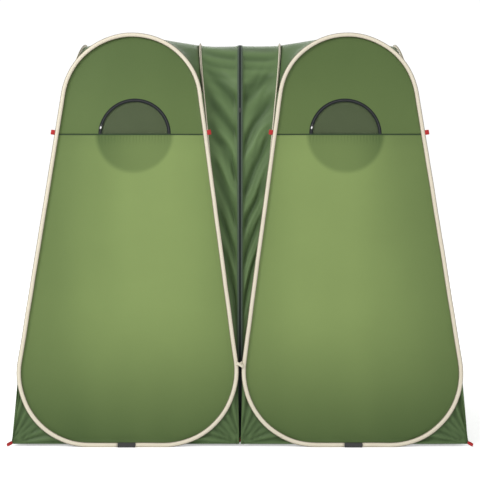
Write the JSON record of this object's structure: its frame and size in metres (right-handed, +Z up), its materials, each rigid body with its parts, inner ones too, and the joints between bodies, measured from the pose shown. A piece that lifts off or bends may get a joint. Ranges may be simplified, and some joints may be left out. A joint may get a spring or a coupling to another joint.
{
  "type": "privacy shower tent",
  "caption": "Pop-up privacy shower tent with side-by-side rooms, sprung hoop panels, zipped windows and doors, which folds flat panel on panel.",
  "frame": {"origin": "on the ground, at the middle of the tent", "axes": "+Z up, front with the windows facing -Y, +X to the right of a viewer at the front"},
  "size_m": [2.1372, 1.1296, 1.924],
  "materials": {
    "sleeve": "cream webbing sleeve over spring steel",
    "wall": "light green coated taffeta",
    "shell": "dark green coated taffeta",
    "mesh": "fine insect netting",
    "zip": "black coil zip tape",
    "slider_black": "black moulded slider",
    "slider_white": "white moulded slider",
    "ferrule": "black moulded joint cover",
    "webbing": "red woven webbing"
  },
  "bodies": {
    "middle": {"passage_cover": "shell", "divider_curtain": "shell", "centre_zip": "zip", "hoop_tie": "sleeve", "front_centre_peg_loop": "webbing", "back_centre_peg_loop": "webbing", "left_inner_hoop": "sleeve", "left_inner_ferrule": "ferrule", "left_roof": "shell", "right_inner_hoop": "sleeve", "right_inner_ferrule": "ferrule", "right_roof": "shell"},
    "centre_zip_slider": {"centre_zip_slider": "slider_black"},
    "left_front": {"left_front_hoop": "sleeve", "left_front_ferrule": "ferrule", "left_front_wall": "wall", "left_window_mesh": "mesh", "left_window_zip": "zip", "left_inner_guy_loop": "webbing", "left_outer_guy_loop": "webbing", "left_front_peg_loop": "webbing"},
    "left_window_flap": {"left_window_flap": "shell"},
    "left_window_slider": {"left_window_slider": "slider_white"},
    "left_outer": {"left_outer_hoop": "sleeve", "left_outer_ferrule": "ferrule", "left_outer_wall": "wall", "left_door_zip": "zip"},
    "left_door": {"left_door_flap": "shell"},
    "left_door_slider": {"left_door_slider": "slider_black"},
    "left_back": {"left_back_hoop": "sleeve", "left_back_ferrule": "ferrule", "left_back_wall": "wall", "left_back_peg_loop": "webbing"},
    "right_front": {"right_front_hoop": "sleeve", "right_front_ferrule": "ferrule", "right_front_wall": "wall", "right_window_mesh": "mesh", "right_window_zip": "zip", "right_inner_guy_loop": "webbing", "right_outer_guy_loop": "webbing", "right_front_peg_loop": "webbing"},
    "right_window_flap": {"right_window_flap": "shell"},
    "right_window_slider": {"right_window_slider": "slider_white"},
    "right_outer": {"right_outer_hoop": "sleeve", "right_outer_ferrule": "ferrule", "right_outer_wall": "wall", "right_door_zip": "zip"},
    "right_door": {"right_door_flap": "shell"},
    "right_door_slider": {"right_door_slider": "slider_black"},
    "right_back": {"right_back_hoop": "sleeve", "right_back_ferrule": "ferrule", "right_back_wall": "wall", "right_back_peg_loop": "webbing"}
  },
  "joints": [
    {"name": "left_fold", "type": "hinge", "parent": "middle", "child": "left_front", "pos_m": [-0.045, -0.518, 0.0095], "axis": [0.0922, -0.1173, -0.9888], "range_deg": [0, 74], "deforming": ["left_roof"]},
    {"name": "left_back_fold", "type": "hinge", "parent": "middle", "child": "left_back", "pos_m": [0.004, 0.5265, 0.0095], "axis": [0.1031, 0.1191, -0.9875], "range_deg": [0, 74]},
    {"name": "left_outer_fold", "type": "hinge", "parent": "left_front", "child": "left_outer", "pos_m": [-1.069, -0.5265, 0.0095], "axis": [0.1389, 0.1185, 0.9832], "range_deg": [0, 74]},
    {"name": "left_flap_hinge", "type": "hinge", "parent": "left_front", "child": "left_window_flap", "pos_m": [-0.504, -0.35594, 1.42158], "axis": [1, 0, 0], "range_deg": [0, 176]},
    {"name": "left_window_zip_travel", "type": "hinge", "parent": "left_front", "child": "left_window_slider", "pos_m": [-0.504, -0.36387, 1.43466], "axis": [0, 0.9922, -0.1245], "range_deg": [0, 152]},
    {"name": "left_door_hinge", "type": "hinge", "parent": "left_outer", "child": "left_door", "pos_m": [-1.02505, 0.27, 0.1272], "axis": [-0.1357, 0, -0.9908], "range_deg": [0, 120]},
    {"name": "left_door_zip_travel", "type": "slide", "parent": "left_outer", "child": "left_door_slider", "axis": [-0.1357, 0, -0.9908], "range_m": [0, 1.2]},
    {"name": "right_fold", "type": "hinge", "parent": "middle", "child": "right_front", "pos_m": [0.045, -0.518, 0.0095], "axis": [0.0922, 0.1173, 0.9888], "range_deg": [0, 74], "deforming": ["right_roof"]},
    {"name": "right_back_fold", "type": "hinge", "parent": "middle", "child": "right_back", "pos_m": [-0.004, 0.5265, 0.0095], "axis": [0.1031, -0.1191, 0.9875], "range_deg": [0, 74]},
    {"name": "right_outer_fold", "type": "hinge", "parent": "right_front", "child": "right_outer", "pos_m": [1.069, -0.5265, 0.0095], "axis": [0.1389, -0.1185, -0.9832], "range_deg": [0, 74]},
    {"name": "right_flap_hinge", "type": "hinge", "parent": "right_front", "child": "right_window_flap", "pos_m": [0.504, -0.35594, 1.42158], "axis": [1, 0, 0], "range_deg": [0, 176]},
    {"name": "right_window_zip_travel", "type": "hinge", "parent": "right_front", "child": "right_window_slider", "pos_m": [0.504, -0.36387, 1.43466], "axis": [0, 0.9922, -0.1245], "range_deg": [0, 152]},
    {"name": "right_door_hinge", "type": "hinge", "parent": "right_outer", "child": "right_door", "pos_m": [1.02505, 0.27, 0.1272], "axis": [-0.1357, 0, 0.9908], "range_deg": [0, 120]},
    {"name": "right_door_zip_travel", "type": "slide", "parent": "right_outer", "child": "right_door_slider", "axis": [0.1357, 0, -0.9908], "range_m": [0, 1.2]},
    {"name": "centre_zip_travel", "type": "slide", "parent": "middle", "child": "centre_zip_slider", "axis": [0, -0.1361, -0.9907], "range_m": [0, 1]}
  ],
  "couplings": [
    {"joint": "left_back_fold", "follows": "left_fold", "ratio": 0.98},
    {"joint": "left_outer_fold", "follows": "left_fold", "ratio": 0.985},
    {"joint": "right_back_fold", "follows": "right_fold", "ratio": 0.98},
    {"joint": "right_outer_fold", "follows": "right_fold", "ratio": 0.985}
  ]
}
